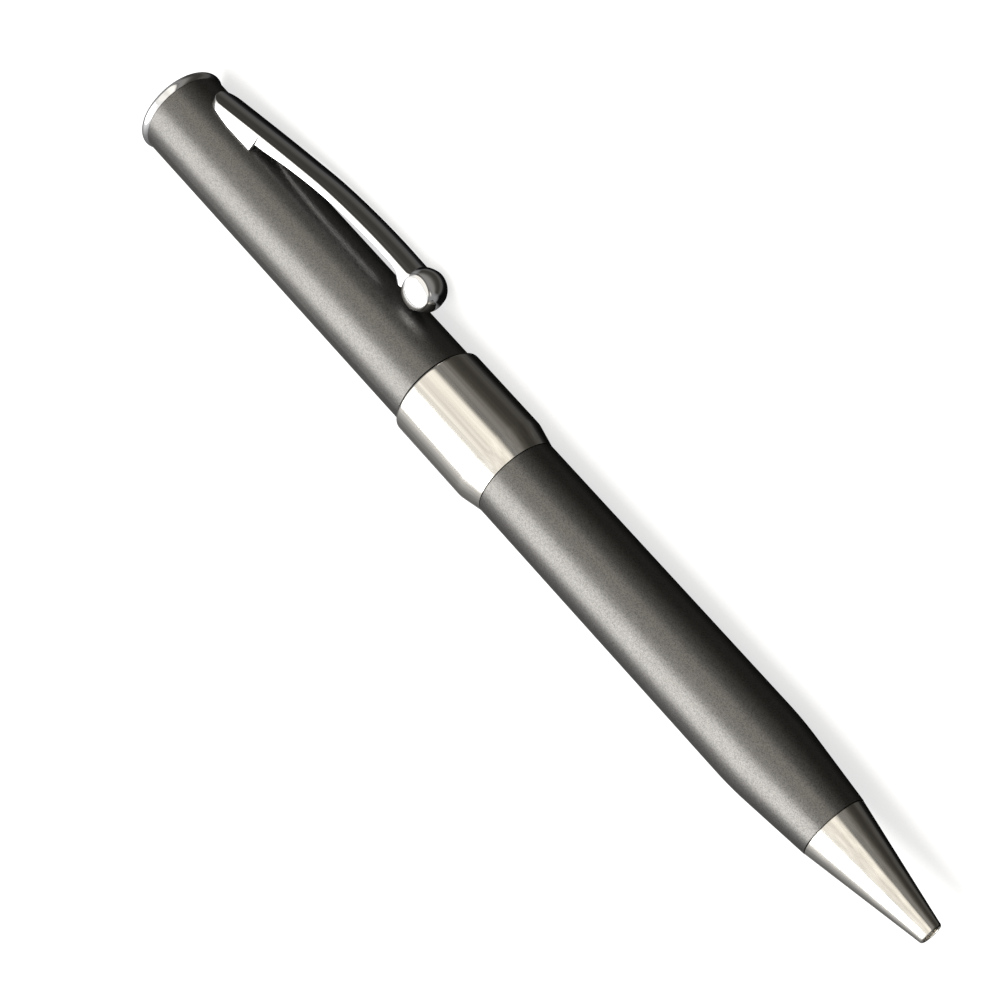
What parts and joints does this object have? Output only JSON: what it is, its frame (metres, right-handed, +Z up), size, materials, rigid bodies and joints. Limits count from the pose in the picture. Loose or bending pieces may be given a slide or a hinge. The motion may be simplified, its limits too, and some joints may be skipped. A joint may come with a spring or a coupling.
{
  "type": "twist ballpoint pen",
  "caption": "Slim twist-action ballpoint pen with a metal body, a flared centre band, a conical nose, a beaded crown and an arched clip ending in a ball.",
  "frame": {"origin": "on the ground under the middle of the pen's bounding box, with the pen lying on its centre band and on the clip's ball", "axes": "+X along the pen from the writing tip to the crown, +Z up, clip on the -Y side and turned towards the ground"},
  "size_m": [0.14, 0.0172, 0.0127],
  "materials": {
    "lacquer": "matt gunmetal metallic lacquer over aluminium",
    "nickel": "polished warm nickel with fine turning lines",
    "chrome": "bright chrome plate",
    "brass": "plain turned brass",
    "steel": "bright steel",
    "acetal": "black acetal",
    "white_acetal": "natural white acetal",
    "rubber": "black rubber",
    "ink": "ballpoint ink paste"
  },
  "bodies": {
    "lower": {"nose_cone": "nickel", "lower_barrel": "lacquer", "coupler_bush": "brass", "centre_band": "nickel", "guide_tube": "white_acetal", "seal_ring": "rubber", "thrust_washer": "acetal", "friction_ring": "rubber", "retaining_ring": "steel", "return_spring": "steel"},
    "upper": {"upper_barrel": "lacquer", "crown_cap": "chrome", "crown_stud": "steel", "clip_block": "acetal", "clip_anchor": "steel", "cam_sleeve": "white_acetal", "drive_bush": "acetal"},
    "clip": {"clip_arm": "chrome", "clip_ball": "chrome"},
    "refill": {"carriage": "white_acetal", "carriage_pin": "steel", "refill_tube": "steel", "refill_plug": "acetal", "ink_column": "ink", "point_holder": "brass", "writing_ball": "steel"}
  },
  "joints": [
    {"name": "barrel_twist", "type": "hinge", "parent": "lower", "child": "upper", "pos_m": [0.0175, 0.00223, 0.00633], "axis": [-1, 0, 0], "range_deg": [0, 180]},
    {"name": "refill_slide", "type": "slide", "parent": "lower", "child": "refill", "axis": [-1, 0, 0], "range_m": [0, 0.005], "deforming": ["return_spring"]},
    {"name": "clip_flex", "type": "hinge", "parent": "upper", "child": "clip", "pos_m": [0.0648, -0.0031, 0.00396], "axis": [0, -0.4068, 0.9135], "range_deg": [0, 3.5], "stiffness_Nm_per_rad": 3.8, "springref_deg": -0.57}
  ],
  "couplings": [
    {"joint": "refill_slide", "follows": "barrel_twist", "m_per_rad": 0.0015915}
  ]
}
